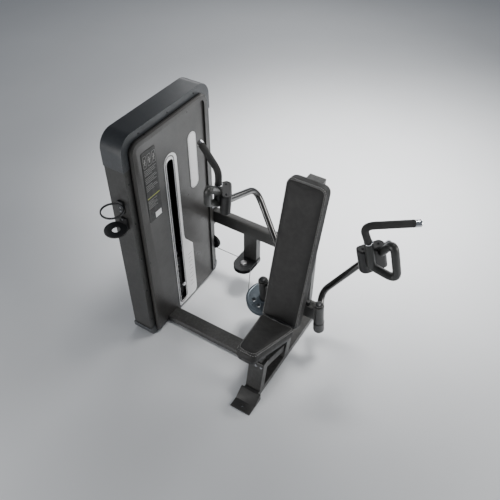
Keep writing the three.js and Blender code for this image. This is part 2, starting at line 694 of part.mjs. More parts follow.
function buildSeat() {
  const forward = V(0, -355, 108).normalize();
  const down = V(1, 0, 0).cross(forward);
  const outline = (inset) => {
    const w = SEAT_HALF_REAR - inset;
    const f = SEAT_HALF_FRONT - inset;
    const rear = inset - 11;
    const front = SEAT_LENGTH - inset;
    const shape = new THREE.Shape();
    shape.moveTo(-w + 26, rear);
    shape.lineTo(w - 26, rear);
    shape.quadraticCurveTo(w, rear, w - 4, rear + 26);
    shape.lineTo(f + 5, front - 30);
    shape.quadraticCurveTo(f, front, f - 30, front);
    shape.lineTo(30 - f, front);
    shape.quadraticCurveTo(-f, front, -f - 5, front - 30);
    shape.lineTo(4 - w, rear + 26);
    shape.quadraticCurveTo(-w, rear, -w + 26, rear);
    return shape;
  };
  const seatAt = basis(V(CENTRE_X, 255, 392), forward, down);
  add('seat_pad', prism(outline(0), 62, 6, 12).applyMatrix4(seatAt), LEATHER);
  const board = prism(outline(10), 14, 6).translate(0, 0, 62 + GAP).applyMatrix4(seatAt);
  add('seat_board', board, BLACK);
  const stem = polygon([[28, 262.3], [68, 262.3], [88, 362.4], [48, 374.4]]);
  add('seat_stem', alongX(stem, CENTRE_X - 32, CENTRE_X + 32), PAINT);
  const up = V(0, Math.sin(LEAN), Math.cos(LEAN));
  const front = V(1, 0, 0).cross(up);
  const backAt = basis(V(CENTRE_X, 265, 375), up, front);
  const face = roundRect(-122, 122, 0, 912, [24, 24, 46, 46]);
  add('back_pad', prism(face, 70, 6, 12).translate(0, 0, -70).applyMatrix4(backAt), LEATHER);
  const rear = roundRect(-110, 110, 12, 898, [20, 20, 40, 40]);
  const gap = UPRIGHT_Y + Math.tan(LEAN) * (375 - BEAM_TOP - GAP) - 265;
  const reach = gap * Math.cos(LEAN) - 70 - 2 * GAP;
  add('back_board', prism(rear, reach, 6).translate(0, 0, -70 - GAP - reach).applyMatrix4(backAt), BLACK);
}

function buildHolders() {
  const ringZ = 1096;
  const hoop = alongZ(circle(-57, -75, 65), ringZ - 5, ringZ + 5, 20);
  const hollow = alongZ(circle(-57, -75, 57), ringZ - 20, ringZ + 20, 20);
  const stay = box(-75, -39, -14, -GAP, ringZ - 60, ringZ + 20);
  add('bottle_ring', fuse(cut(hoop, hollow), stay), BLACK);
  const trayZ = 962;
  const tray = alongZ(circle(-59, -72, 66), trayZ - 6, trayZ, 20);
  const middle = alongZ(circle(-59, -72, 23), trayZ - 20, trayZ + 20, 12);
  const post = box(-85, -33, -14, -GAP, trayZ - 40, trayZ + 40);
  add('bottle_tray', fuse(cut(tray, middle), post), BLACK);
}

buildTower();
buildTrim();
buildStack();
buildCable();
add('steel_cable', tube(stackCable(), CABLE_R, 3), STEEL);
buildFrame();
buildPivot(-1, 'left');
buildPivot(1, 'right');
buildCam();
buildArm(-1, 'left');
buildArm(1, 'right');
buildSeat();
buildHolders();

const centre = new THREE.Box3().setFromObject(part).getCenter(V(0, 0, 0));
for (const mesh of part.children) mesh.geometry.translate(-centre.x, -centre.y, 0);

export default part;
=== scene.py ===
import json
import math

import bmesh
import bpy
from mathutils import Matrix, Vector
from mathutils.bvhtree import BVHTree
from mathutils.kdtree import KDTree


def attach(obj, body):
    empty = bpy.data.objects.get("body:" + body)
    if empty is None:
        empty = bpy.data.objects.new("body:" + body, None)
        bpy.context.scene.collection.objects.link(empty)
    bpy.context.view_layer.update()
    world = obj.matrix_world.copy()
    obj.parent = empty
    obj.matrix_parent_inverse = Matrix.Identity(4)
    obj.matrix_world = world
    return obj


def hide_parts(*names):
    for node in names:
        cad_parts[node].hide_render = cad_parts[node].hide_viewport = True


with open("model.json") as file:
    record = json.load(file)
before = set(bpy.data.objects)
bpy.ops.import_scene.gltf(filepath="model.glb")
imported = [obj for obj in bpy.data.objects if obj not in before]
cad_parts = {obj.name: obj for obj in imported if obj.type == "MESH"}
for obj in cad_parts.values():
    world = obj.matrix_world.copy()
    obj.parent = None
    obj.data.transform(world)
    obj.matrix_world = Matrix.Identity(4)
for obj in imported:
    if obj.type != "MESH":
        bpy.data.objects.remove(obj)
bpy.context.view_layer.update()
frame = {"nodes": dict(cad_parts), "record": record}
NODES = frame["nodes"]

# drawing origin of the CAD source, in metres, seen from the row frame
ORIGIN = Vector((-0.640490906, -0.3175, 0.0))
LEAN = math.radians(14.5)  # back pad, from upright
TILT = math.radians(10)  # arm pivots, from upright
CENTRE_X = 786  # middle of the seat, in mm
PIVOT_OFFSET = 188  # arm pivot from the middle of the seat, in mm
PIVOT_Y, PIVOT_Z = 400, 505
WELD = 0.00002  # vertices nearer than this are one
UP = Vector((0, 0, 1))
RIGHTWARD = Vector((1, 0, 0))
REARWARD = Vector((0, 1, 0))
PIVOT_AXIS = Vector((0, -math.sin(TILT), math.cos(TILT)))


def mm(x, y, z):
    return Vector((x, y, z)) / 1000 + ORIGIN


def direction(x, y, z):
    return Vector((x, y, z)).normalized()


# ---------------------------------------------------------------- camera

CAMERA_ANGLES = (43.753, 31.593, 0.298)  # pitch down, azimuth, roll
CAMERA_PLACE = mm(1815.8, -1732.4, 3108.8)
SENSOR, LENS = 36, 42.6816


def make_camera():
    pitch, azimuth, roll = (math.radians(a) for a in CAMERA_ANGLES)
    forward = Vector((
        -math.sin(azimuth) * math.cos(pitch),
        math.cos(azimuth) * math.cos(pitch),
        -math.sin(pitch),
    ))
    right = Vector((math.cos(azimuth), math.sin(azimuth), 0))
    up = right.cross(forward)
    across = right * math.cos(roll) + up * math.sin(roll)
    above = up * math.cos(roll) - right * math.sin(roll)
    data = bpy.data.cameras.new("camera")
    data.sensor_width = SENSOR
    data.lens = LENS
    data.clip_end = 40
    camera = bpy.data.objects.new("camera", data)
    bpy.context.scene.collection.objects.link(camera)
    axes = Matrix((across, above, -forward)).transposed().to_4x4()
    camera.matrix_world = Matrix.Translation(CAMERA_PLACE) @ axes
    bpy.context.scene.camera = camera


make_camera()


# ---------------------------------------------------------------- materials

class Nodes:
    """Short way to build a node tree."""

    def __init__(self, name):
        self.material = bpy.data.materials.new(name)
        self.material.use_nodes = True
        self.tree = self.material.node_tree
        self.shader = self.tree.nodes["Principled BSDF"]
        self.coords = self.tree.nodes.new("ShaderNodeTexCoord").outputs["Object"]

    def new(self, kind, inputs=(), **settings):
        node = self.tree.nodes.new(kind)
        for key, value in settings.items():
            setattr(node, key, value)
        for key, value in dict(inputs).items():
            if isinstance(value, bpy.types.NodeSocket):
                self.tree.links.new(value, node.inputs[key])
            else:
                node.inputs[key].default_value = value
        return node

    def noise(self, scale, detail=4, rough=0.55, stretch=None):
        where = self.coords
        if stretch:
            where = self.new("ShaderNodeMapping", {"Vector": where, "Scale": stretch}).outputs[0]
        inputs = {"Vector": where, "Scale": scale, "Detail": detail, "Roughness": rough}
        return self.new("ShaderNodeTexNoise", inputs).outputs["Fac"]

    def voronoi(self, scale, feature="F1"):
        inputs = {"Vector": self.coords, "Scale": scale}
        return self.new("ShaderNodeTexVoronoi", inputs, feature=feature).outputs["Distance"]

    def ramp(self, value, low, high, start=0.3, end=0.7):
        inputs = {"Value": value, 1: start, 2: end, 3: low, 4: high}
        return self.new("ShaderNodeMapRange", inputs).outputs[0]

    def math(self, kind, a, b=0.0, c=0.0):
        return self.new("ShaderNodeMath", {0: a, 1: b, 2: c}, operation=kind).outputs[0]

    def mix(self, factor, a, b):
        node = self.new("ShaderNodeMix", data_type="RGBA")
        for index, value in ((0, factor), (6, a), (7, b)):
            if isinstance(value, bpy.types.NodeSocket):
                self.tree.links.new(value, node.inputs[index])
            elif index:
                node.inputs[index].default_value = (*value, 1)
            else:
                node.inputs[0].default_value = value
        return node.outputs[2]

    def height(self):
        split = self.new("ShaderNodeSeparateXYZ", {0: self.coords})
        return split.outputs[2]

    def edges(self, low=0.52, high=0.6):
        point = self.new("ShaderNodeNewGeometry").outputs["Pointiness"]
        return self.ramp(point, 0.0, 1.0, low, high)

    def finish(self, colour, roughness, bump=None, strength=0.2, distance=0.001, **constants):
        self.tree.links.new(colour, self.shader.inputs["Base Color"])
        self.tree.links.new(roughness, self.shader.inputs["Roughness"])
        if bump is not None:
            inputs = {"Height": bump, "Strength": strength, "Distance": distance}
            normal = self.new("ShaderNodeBump", inputs).outputs[0]
            self.tree.links.new(normal, self.shader.inputs["Normal"])
        for key, value in constants.items():
            self.shader.inputs[key.replace("_", " ")].default_value = value
        return self.material


def paint(name, base, light, rough, grain=900, bump=0.12, wear=(0.2, 0.2, 0.2), **constants):
    """Sprayed or moulded finish: mottling, orange peel, dust near the floor, rubbed edges."""
    n = Nodes(name)
    mottle = n.noise(7, 5)
    colour = n.mix(n.ramp(mottle, 0, 1), base, light)
    speck = n.ramp(n.noise(grain * 0.7, 2), 0, 0.35, 0.45, 0.75)
    colour = n.mix(speck, colour, tuple(min(1, c * 1.5 + 0.01) for c in light))
    rub = n.math("MULTIPLY", n.edges(), n.ramp(n.noise(60, 6, 0.7), 0, 0.55, 0.45, 0.7))
    colour = n.mix(rub, colour, wear)
    scuff = n.noise(38, 7, 0.75, (1, 1, 5))
    low = n.ramp(n.height(), 1, 0, 0.0, 0.28)
    dust = n.math("MULTIPLY", n.ramp(scuff, 0, 0.05, 0.45, 0.75), low)
    colour = n.mix(dust, colour, (0.26, 0.25, 0.235))
    roughness = n.ramp(n.noise(16, 5, 0.6), rough - 0.06, rough + 0.08)
    peel = n.noise(grain, 2, 0.5)
    return n.finish(colour, roughness, peel, bump, 0.0006, **constants)


def chrome_like(name, base, rough, tint=(0.5, 0.5, 0.5), brush=None):
    n = Nodes(name)
    smear = n.noise(24, 6, 0.65)
    colour = n.mix(n.ramp(smear, 0, 0.25, 0.5, 0.8), base, tint)
    roughness = n.ramp(n.noise(55, 5, 0.7), rough * 0.7, rough * 1.7)
    fine = n.noise(420, 3, 0.6, brush) if brush else n.noise(160, 3)
    return n.finish(colour, roughness, fine, 0.05 if not brush else 0.16, 0.0004, Metallic=1.0)


def leather(name):
    n = Nodes(name)
    cell = n.voronoi(520, "DISTANCE_TO_EDGE")
    crease = n.ramp(cell, 0, 1, 0.0, 0.1)
    broad = n.noise(9, 5, 0.6)
    colour = n.mix(n.ramp(broad, 0, 1), (0.020, 0.0198, 0.0196), (0.029, 0.0287, 0.0284))
    # darker along the grain's creases, where the bump sinks: painted shade in the recesses
    colour = n.mix(n.ramp(cell, 0.45, 0, 0.0, 0.06), colour, (0.007, 0.007, 0.007))
    worn = n.ramp(n.noise(26, 6, 0.7), 0, 0.3, 0.52, 0.75)
    colour = n.mix(worn, colour, (0.032, 0.0315, 0.031))
    wrinkle = n.noise(75, 5, 0.6)
    height = n.math("MULTIPLY_ADD", wrinkle, 0.8, crease)
    roughness = n.ramp(n.noise(40, 5), 0.46, 0.64)
    return n.finish(colour, roughness, height, 0.34, 0.0007, Specular_IOR_Level=0.3)


def rubber(name):
    n = Nodes(name)
    colour = n.mix(n.ramp(n.noise(30, 5), 0, 1), (0.016, 0.016, 0.016), (0.027, 0.027, 0.026))
    pits = n.voronoi(900)
    colour = n.mix(n.ramp(n.noise(300, 3), 0, 0.3, 0.55, 0.8), colour, (0.045, 0.045, 0.044))
    roughness = n.ramp(n.noise(60, 4), 0.72, 0.9)
    return n.finish(colour, roughness, pits, 0.35, 0.0006)


def rope(name):
    n = Nodes(name)
    lay_and_groove_shade = n.new("ShaderNodeTexWave", {
        "Vector": n.coords, "Scale": 160, "Distortion": 2.0, "Detail": 2.0,
    }, bands_direction="DIAGONAL").outputs["Fac"]
    # colour follows the strand lay: painted shade in the grooves between strands, painted highlight
    # on their crests
    colour = n.mix(lay_and_groove_shade, (0.020, 0.020, 0.022), (0.15, 0.155, 0.16))
    roughness = n.ramp(n.noise(90), 0.25, 0.45)
    return n.finish(colour, roughness, lay_and_groove_shade, 0.6, 0.0008, Metallic=0.6)


SLOTS = {
    "frame_paint": paint("frame_paint", (0.031, 0.031, 0.030), (0.041, 0.041, 0.040), 0.34,
                         wear=(0.12, 0.12, 0.12), Metallic=0.25),
    "cap_plastic": paint("cap_plastic", (0.024, 0.027, 0.030), (0.032, 0.036, 0.040), 0.34,
                         wear=(0.15, 0.17, 0.19), Coat_Weight=0.15, Coat_Roughness=0.3),
    "cover_plastic": paint("cover_plastic", (0.030, 0.029, 0.0275), (0.040, 0.038, 0.036), 0.33,
                           grain=700, bump=0.2, wear=(0.16, 0.155, 0.15)),
    "silver_trim": paint("silver_trim", (0.90, 0.90, 0.90), (0.95, 0.95, 0.95), 0.32,
                         grain=1400, bump=0.05, wear=(0.9, 0.9, 0.9)),
    "card": paint("card", (0.014, 0.014, 0.013), (0.020, 0.020, 0.019), 0.45, bump=0.05),
    "weight_iron": paint("weight_iron", (0.016, 0.017, 0.018), (0.028, 0.029, 0.030), 0.5,
                         grain=380, bump=0.4, wear=(0.12, 0.12, 0.12), Metallic=0.4),
    "chrome": chrome_like("chrome", (0.78, 0.785, 0.8), 0.1),
    "bright_steel": chrome_like("bright_steel", (0.48, 0.49, 0.51), 0.25, brush=(1, 1, 12)),
    "cam_metal": paint("cam_metal", (0.085, 0.105, 0.122), (0.12, 0.145, 0.168), 0.32,
                       wear=(0.4, 0.42, 0.44), Metallic=0.55),
    "black_nylon": paint("black_nylon", (0.009, 0.009, 0.009), (0.015, 0.015, 0.015), 0.38,
                         grain=500),
    "gloss_black": paint("gloss_black", (0.075, 0.074, 0.073), (0.095, 0.094, 0.092), 0.2,
                         bump=0.05, wear=(0.2, 0.2, 0.2), Metallic=0.85, Coat_Weight=0.5,
                         Coat_Roughness=0.1),
    "black_steel": paint("black_steel", (0.016, 0.017, 0.018), (0.026, 0.027, 0.029), 0.36,
                         wear=(0.16, 0.16, 0.16), Metallic=0.3),
    "grip_rubber": rubber("grip_rubber"),
    "pad_vinyl": leather("pad_vinyl"),
    "wire_rope": rope("wire_rope"),
}

NODE_SLOT = {
    "top_cap": "cap_plastic", "tower_shoe": "cap_plastic", "rear_panel": "cover_plastic",
    "front_cover": "cover_plastic", "slot_trim": "silver_trim", "name_plate": "silver_trim",
    "instruction_card": "card", "stack_bed": "weight_iron", "stack_head": "weight_iron",
    "guide_rod_front": "chrome", "guide_rod_rear": "chrome", "selector_stem": "bright_steel",
    "selector_pin": "chrome", "top_pulley_front": "black_nylon", "top_pulley_rear": "black_nylon",
    "exit_pulley": "black_nylon", "guide_pulley": "black_nylon",
    "exit_pulley_bracket": "weight_iron",
    "guide_bracket": "black_steel", "steel_cable": "wire_rope", "cam_wheel": "cam_metal",
    "arm_tube_left": "gloss_black", "arm_tube_right": "gloss_black",
    "handle_hub_left": "black_nylon", "handle_hub_right": "black_nylon",
    "grip_bar_left": "chrome", "grip_bar_right": "chrome",
    "grip_sleeve_left": "grip_rubber", "grip_sleeve_right": "grip_rubber",
    "seat_pad": "pad_vinyl", "back_pad": "pad_vinyl", "seat_board": "black_steel",
    "back_board": "black_steel", "bottle_ring": "black_steel", "bottle_tray": "black_steel",
    "start_pin_left": "black_nylon", "start_pin_right": "black_nylon", "rear_foot": "grip_rubber",
}


def dress(obj, name):
    obj.data.materials.clear()
    obj.data.materials.append(SLOTS[name])


BODY_OF = {}
for body_name, members in frame["record"]["behaviour"]["bodies"].items():
    for member in members:
        BODY_OF[member] = body_name


def link(obj, slot_name, body, *replaced):
    bpy.context.scene.collection.objects.link(obj)
    dress(obj, slot_name)
    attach(obj, body)
    if replaced:
        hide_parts(*replaced)
    return obj


def shade(mesh, angle=32):
    mesh.shade_smooth()
    mesh.set_sharp_from_angle(angle=math.radians(angle))


def bevel(obj, width, segments=2, angle=32):
    edge = obj.modifiers.new("edges", "BEVEL")
    edge.width = width
    edge.segments = segments
    edge.limit_method = "ANGLE"
    edge.angle_limit = math.radians(angle)
    edge.harden_normals = True


def from_bmesh(name, bm, slot_name, body, *replaced, angle=32):
    mesh = bpy.data.meshes.new(name)
    bm.to_mesh(mesh)
    bm.free()
    shade(mesh, angle)
    return link(bpy.data.objects.new(name, mesh), slot_name, body, *replaced)


def refine(node_name, width=0.0015, segments=2, angle=32):
    """The CAD solid again, welded, with its flat faces joined and its edges rounded."""
    bm = bmesh.new()
    bm.from_mesh(NODES[node_name].data)
    bmesh.ops.remove_doubles(bm, verts=bm.verts, dist=WELD)
    bmesh.ops.dissolve_limit(bm, angle_limit=math.radians(0.5), verts=bm.verts, edges=bm.edges)
    bmesh.ops.recalc_face_normals(bm, faces=bm.faces)
    slot_name = slot_of(node_name)
    name = node_name + "_finish"
    obj = from_bmesh(name, bm, slot_name, BODY_OF[node_name], node_name, angle=angle)
    bevel(obj, width, segments, angle)
    return obj


def slot_of(node_name):
    if node_name.startswith("weight_plate"):
        return "weight_iron"
    return NODE_SLOT.get(node_name, "frame_paint")


def frame_along(points):
    """Carries one cross direction along a path, without twisting it."""
    tangents = []
    for i in range(len(points)):
        before = points[max(i - 1, 0)]
        after = points[min(i + 1, len(points) - 1)]
        tangents.append((after - before).normalized())
    side = tangents[0].orthogonal().normalized()
    axes = []
    for tangent in tangents:
        side = (side - tangent * side.dot(tangent)).normalized()
        axes.append((side, tangent.cross(side)))
    return axes


def sweep(bm, points, radii, sides=24, closed=False):
    if closed:
        points = [*points, points[0], points[1]]
    if not isinstance(radii, (list, tuple)):
        radii = [radii] * len(points)
    rings = []
    for point, radius, (a, b) in zip(points, radii, frame_along(points)):
        ring = []
        for i in range(sides):
            turn = math.tau * i / sides
            ring.append(bm.verts.new(point + (a * math.cos(turn) + b * math.sin(turn)) * radius))
        rings.append(ring)
    if closed:
        for vert in rings[-1] + rings[-2]:
            bm.verts.remove(vert)
        rings = rings[:-2]
    last = len(rings) if closed else len(rings) - 1
    for k in range(last):
        near = rings[k]
        far = rings[(k + 1) % len(rings)]
        for i in range(sides):
            j = (i + 1) % sides
            bm.faces.new((near[i], near[j], far[j], far[i]))
    if not closed:
        bm.faces.new(list(reversed(rings[0])))
        bm.faces.new(rings[-1])


def bent(corners, radius, steps=14):
    points = [corners[0].copy()]
    for i in range(1, len(corners) - 1):
        back = corners[i - 1] - corners[i]
        ahead = corners[i + 1] - corners[i]
        half = back.angle(ahead) / 2
        reach = min(radius / math.tan(half), back.length * 0.48, ahead.length * 0.48)
        start = corners[i] + back.normalized() * reach
        end = corners[i] + ahead.normalized() * reach
        for k in range(steps + 1):
            t = k / steps
            points.append(start * (1 - t) ** 2 + corners[i] * 2 * t * (1 - t) + end * t * t)
    points.append(corners[-1].copy())
    return points


def domed(points, radius, edge):
    """Adds small rounded ends to a swept bar: returns its points and radii."""
    out_points, out_radii = [], []
    first = (points[1] - points[0]).normalized()
    last = (points[-1] - points[-2]).normalized()
    turns = [math.pi / 2 * k / 4 for k in range(5)]
    for turn in turns:
        out_points.append(points[0] + first * edge * (1 - math.cos(turn)))
        out_radii.append(radius - edge + edge * math.sin(turn))
    for point in points[1:-1]:
        out_points.append(point)
        out_radii.append(radius)
    for turn in reversed(turns):
        out_points.append(points[-1] - last * edge * (1 - math.cos(turn)))
        out_radii.append(radius - edge + edge * math.sin(turn))
    return out_points, out_radii


def bar(bm, points, radius, edge=0.002, sides=28):
    if len(points) == 2:
        points = [points[0], points[0].lerp(points[1], 0.5), points[1]]
    path, radii = domed(points, radius, edge)
    sweep(bm, path, radii, sides)


def lathe(bm, profile, origin, axis, steps=56):
    """Turned ring or disc: profile pairs of radius and height, in metres, along the axis."""
    axis = axis.normalized()
    a = axis.orthogonal().normalized()
    b = axis.cross(a)
    rings = []
    for radius, height in profile:
        centre = origin + axis * height
        if radius < 1e-6:
            rings.append([bm.verts.new(centre)])
            continue
        ring = []
        for i in range(steps):
            turn = math.tau * i / steps
            ring.append(bm.verts.new(centre + (a * math.cos(turn) + b * math.sin(turn)) * radius))
        rings.append(ring)
    closed = profile[0] == profile[-1]
    if closed:
        for vert in rings[-1]:
            bm.verts.remove(vert)
        rings[-1] = rings[0]
    for near, far in zip(rings, rings[1:]):
        for i in range(steps):
            j = (i + 1) % steps
            corners = ((near, i), (near, j), (far, j), (far, i))
            unique = list(dict.fromkeys(ring[k % len(ring)] for ring, k in corners))
            if len(unique) > 2:
                bm.faces.new(unique)


def scaled(profile):
    return [(r / 1000, h / 1000) for r, h in profile]


def screw(bm, at, axis, radius=0.005, height=0.002, hexagon=True):
    """Low button head with a hexagonal socket."""
    lathe(bm, [
        (radius * 0.5, height * 0.25), (radius * 0.5, height), (radius * 0.72, height),
        (radius * 0.94, height * 0.6), (radius, 0), (radius, -height),
    ], at, axis, 20)
    if hexagon:
        lathe(bm, [(0, height * 0.25), (radius * 0.5, height * 0.25)], at, axis, 6)


def bolt(bm, at, axis, radius):
    """Hexagon head on a washer."""
    lathe(bm, [
        (0, radius * 0.75), (radius * 0.82, radius * 0.75), (radius, radius * 0.6), (radius, 0),
    ], at, axis, 6)
    lathe(bm, [
        (0, 0.0012), (radius * 1.4, 0.0012), (radius * 1.5, 0.0006), (radius * 1.5, -0.001),
    ], at, axis, 28)


def block(bm, low, high):
    made = bmesh.ops.create_cube(bm, size=1)["verts"]
    middle = (low + high) / 2
    size = high - low
    for vert in made:
        vert.co = Vector([c * s for c, s in zip(vert.co, size)]) + middle


# ---------------------------------------------------------------- cushions

def evaluated(obj):
    graph = bpy.context.evaluated_depsgraph_get()
    graph.update()
    return bpy.data.meshes.new_from_object(obj.evaluated_get(graph))


def replace_mesh(obj):
    made = evaluated(obj)
    obj.modifiers.clear()
    obj.data = made


VOXEL = 0.006
CLOTH_STEPS = 20
PRESSURE = 4
SMOOTHING_PASSES = 6
BASE_BAND = 0.008  # the cover's lowest part, held by its board
SHRINK = 0.001  # taken off first, because the pad swells
PAD_EDGE = 0.013  # how far the rounded edge reaches in from the pad's outline
SEAM_LEAN = math.radians(42)
STITCH_LEANS = (2, 78)


def inflate(obj, held, cap):
    """Blows the cover up against its stitched base. held(point) says which points stay."""
    group = obj.vertex_groups.new(name="held")
    start = [vert.co.copy() for vert in obj.data.vertices]
    group.add([i for i, co in enumerate(start) if held(co)], 1.0, "REPLACE")
    cloth = obj.modifiers.new("cloth", "CLOTH")
    settings = cloth.settings
    settings.quality = 5
    settings.mass = 0.35
    settings.tension_stiffness = 30
    settings.compression_stiffness = 30
    settings.shear_stiffness = 12
    settings.bending_stiffness = 6
    settings.use_pressure = True
    settings.uniform_pressure_force = PRESSURE
    settings.vertex_group_mass = "held"
    settings.effector_weights.gravity = 0
    cloth.collision_settings.use_self_collision = False
    cloth.point_cache.frame_end = CLOTH_STEPS
    scene = bpy.context.scene
    for step in range(1, CLOTH_STEPS + 1):
        scene.frame_set(step)
    blown = evaluated(obj)
    obj.modifiers.clear()
    scene.frame_set(1)
    moves = [now.co - was for was, now in zip(start, blown.vertices)]
    moves = [move * min(1, cap / max(move.length, 1e-9)) for move in moves]
    for _ in range(SMOOTHING_PASSES):
        sums = [Vector() for _ in moves]
        counts = [0] * len(moves)
        for edge in obj.data.edges:
            a, b = edge.vertices
            sums[a] += moves[b]
            sums[b] += moves[a]
            counts[a] += 1
            counts[b] += 1
        moves = [(m + total / max(n, 1)) / 2 for m, total, n in zip(moves, sums, counts)]
    for vert, was, move in zip(obj.data.vertices, start, moves):
        vert.co = was + move


def rim_points(corners, radii, spacing=0.005):
    """Rounded outline in the pad's own plane, as (point, outward) pairs at even spacing."""
    path = []
    count = len(corners)
    for i in range(count):
        here = Vector(corners[i])
        back = Vector(corners[i - 1]) - here
        ahead = Vector(corners[(i + 1) % count]) - here
        start = here + back.normalized() * radii[i]
        end = here + ahead.normalized() * radii[i]
        for k in range(9):
            t = k / 8
            path.append(start * (1 - t) ** 2 + here * 2 * t * (1 - t) + end * t * t)
    path.append(path[0].copy())
    out = []
    carried = 0.0
    for a, b in zip(path, path[1:]):
        run = b - a
        if run.length < 1e-7:
            continue
        outward = Vector((run.y, -run.x)).normalized()
        at = carried
        while at < run.length:
            out.append((a + run.normalized() * at, outward))
            at += spacing
        carried = at - run.length
    return out


def make_cushion(node_name, plane, thickness, rim, cap, settle):
    """plane is (origin, across, along, outward): its top surface. rim is (corners, radii) in it."""
    origin, across, along, front = plane
    bm = bmesh.new()
    bm.from_mesh(NODES[node_name].data)
    bmesh.ops.remove_doubles(bm, verts=bm.verts, dist=WELD)
    mesh = bpy.data.meshes.new(node_name + "_cover")
    bm.to_mesh(mesh)
    bm.free()
    obj = bpy.data.objects.new(node_name + "_cover", mesh)
    link(obj, "pad_vinyl", BODY_OF[node_name], node_name)
    remesh = obj.modifiers.new("remesh", "REMESH")
    remesh.mode = "VOXEL"
    remesh.voxel_size = VOXEL
    replace_mesh(obj)
    base = -thickness + BASE_BAND
    normals = [vert.normal.copy() for vert in obj.data.vertices]
    for vert, normal in zip(obj.data.vertices, normals):
        if (vert.co - origin).dot(front) > base:
            vert.co -= normal * SHRINK
    inflate(obj, lambda co: (co - origin).dot(front) < base, cap)
    reach, shift = settle
    for vert in obj.data.vertices:
        ahead = (vert.co - origin).dot(along)
        if ahead < reach:
            vert.co -= along * shift * min(1, (reach - ahead) / reach)
    even = obj.modifiers.new("even", "SMOOTH")
    even.factor = 0.5
    even.iterations = 3
    smooth = obj.modifiers.new("subdivision", "SUBSURF")
    smooth.levels = 1
    smooth.render_levels = 1
    replace_mesh(obj)
    dress(obj, "pad_vinyl")
    corners, radii = rim
    outline = rim_points(corners, radii)
    tree = surface_of(obj)

    def place(point, outward, tilt):
        side = across * outward.x + along * outward.y
        aim = front * math.cos(tilt) + side * math.sin(tilt)
        centre = origin + across * point.x + along * point.y - front * PAD_EDGE
        hit, normal, _, _ = tree.ray_cast(centre + aim * 0.08, -aim)
        return hit, normal

    seam = [place(p, o, SEAM_LEAN)[0] for p, o in outline]
    seam = [co for co in seam if co is not None]
    sink_along(obj, seam, 0.0016, 0.005)
    shade(obj.data, 80)
    bm = bmesh.new()
    sweep(bm, soften(seam, 3), 0.0021, 8, closed=True)
    from_bmesh(node_name + "_piping", bm, "piping", BODY_OF[node_name], angle=80)
    bm = bmesh.new()
    for tilt in STITCH_LEANS:
        spots = [place(p, o, math.radians(tilt)) for p, o in outline]
        spots = [s for s in spots if s[0] is not None]
        for (a, na), (b, _) in zip(spots[::2], spots[1::2]):
            stitch(bm, a, b, na)
    from_bmesh(node_name + "_stitching", bm, "thread", BODY_OF[node_name], angle=80)
    return obj


def surface_of(obj):
    mesh = obj.data
    faces = [tuple(face.vertices) for face in mesh.polygons]
    return BVHTree.FromPolygons([vert.co for vert in mesh.vertices], faces)


def sink_along(obj, line, depth, width):
    tree = KDTree(len(line))
    for i, co in enumerate(line):
        tree.insert(co, i)
    tree.balance()
    normals = [vert.normal.copy() for vert in obj.data.vertices]
    for vert, normal in zip(obj.data.vertices, normals):
        distance = tree.find(vert.co)[2]
        if distance < width * 3:
            vert.co -= normal * depth * math.exp(-((distance / width) ** 2))


def soften(points, passes):
    for _ in range(passes):
        count = len(points)
        points = [
            points[i - 1] * 0.25 + points[i] * 0.5 + points[(i + 1) % count] * 0.25
            for i in range(count)
        ]
    return points


def stitch(bm, a, b, normal):
    """One stitch: a short thread that rises in its middle and dives into the cover."""
    points = []
    for t, lift in ((0, -0.0006), (0.2, 0.0004), (0.5, 0.0008), (0.8, 0.0004), (1, -0.0006)):
        points.append(a.lerp(b, 0.05 + t * 0.9) + normal * lift)
    sweep(bm, points, 0.0009, 5)


def make_cushions():
    up = Vector((0, math.sin(LEAN), math.cos(LEAN)))
    front = RIGHTWARD.cross(up)
    w, h = 0.122 - PAD_EDGE, 0.912 - PAD_EDGE
    make_cushion(
        "back_pad", (mm(CENTRE_X, 265, 375), RIGHTWARD, up, front), 0.070,
        ([(-w, PAD_EDGE), (w, PAD_EDGE), (w, h), (-w, h)], [0.016, 0.016, 0.036, 0.036]),
        cap=0.006, settle=(0.06, 0.016),
    )
    forward = direction(0, -355, 108)
    top = forward.cross(RIGHTWARD)
    rear, tip = 0.118 - PAD_EDGE, 0.060 - 0.011
    length = 0.371 - PAD_EDGE
    make_cushion(
        "seat_pad", (mm(CENTRE_X, 255, 392), RIGHTWARD, forward, top), 0.062,
        (
            [(-rear, 0.002), (rear, 0.002), (tip, length), (-tip, length)],
            [0.018, 0.018, 0.026, 0.026],
        ),
        cap=0.005, settle=(0.04, 0.005),
    )


# ---------------------------------------------------------------- arms and grips

ARM_CORNERS = ((434, 399, 1020), (440, 726, 885), (114, 604, 390))
ELBOW, RING = (459, 343, 1026), (430, 319, 1184)
GRIP_CORNER, GRIP_TIP = (400, 281, 1306), (598, 418, 1313)
LOOP_CORNERS = {
    "left": ((449, 238, 1106), (395, 173, 1270), (441, 328, 1124)),
    "right": ((596, 372, 968), (546, 332, 1233), (482, 392, 1092)),
}
SIDES = {"left": -1, "right": 1}
ARM_RADIUS = 0.0207
LOOP_RADIUS = 0.0213
SOCKET_RADIUS = 0.0226
COLLAR_RADIUS = 0.0221
SLEEVE_RADIUS = 0.0189
ARM_BEND, LOOP_BEND, GRIP_BEND = 0.105, 0.046, 0.060


def axis_point(side, down):
    """Point on an arm's pivot axis, that many mm below its drawn height."""
    return mm(CENTRE_X + side * PIVOT_OFFSET, PIVOT_Y, PIVOT_Z) - PIVOT_AXIS * down / 1000


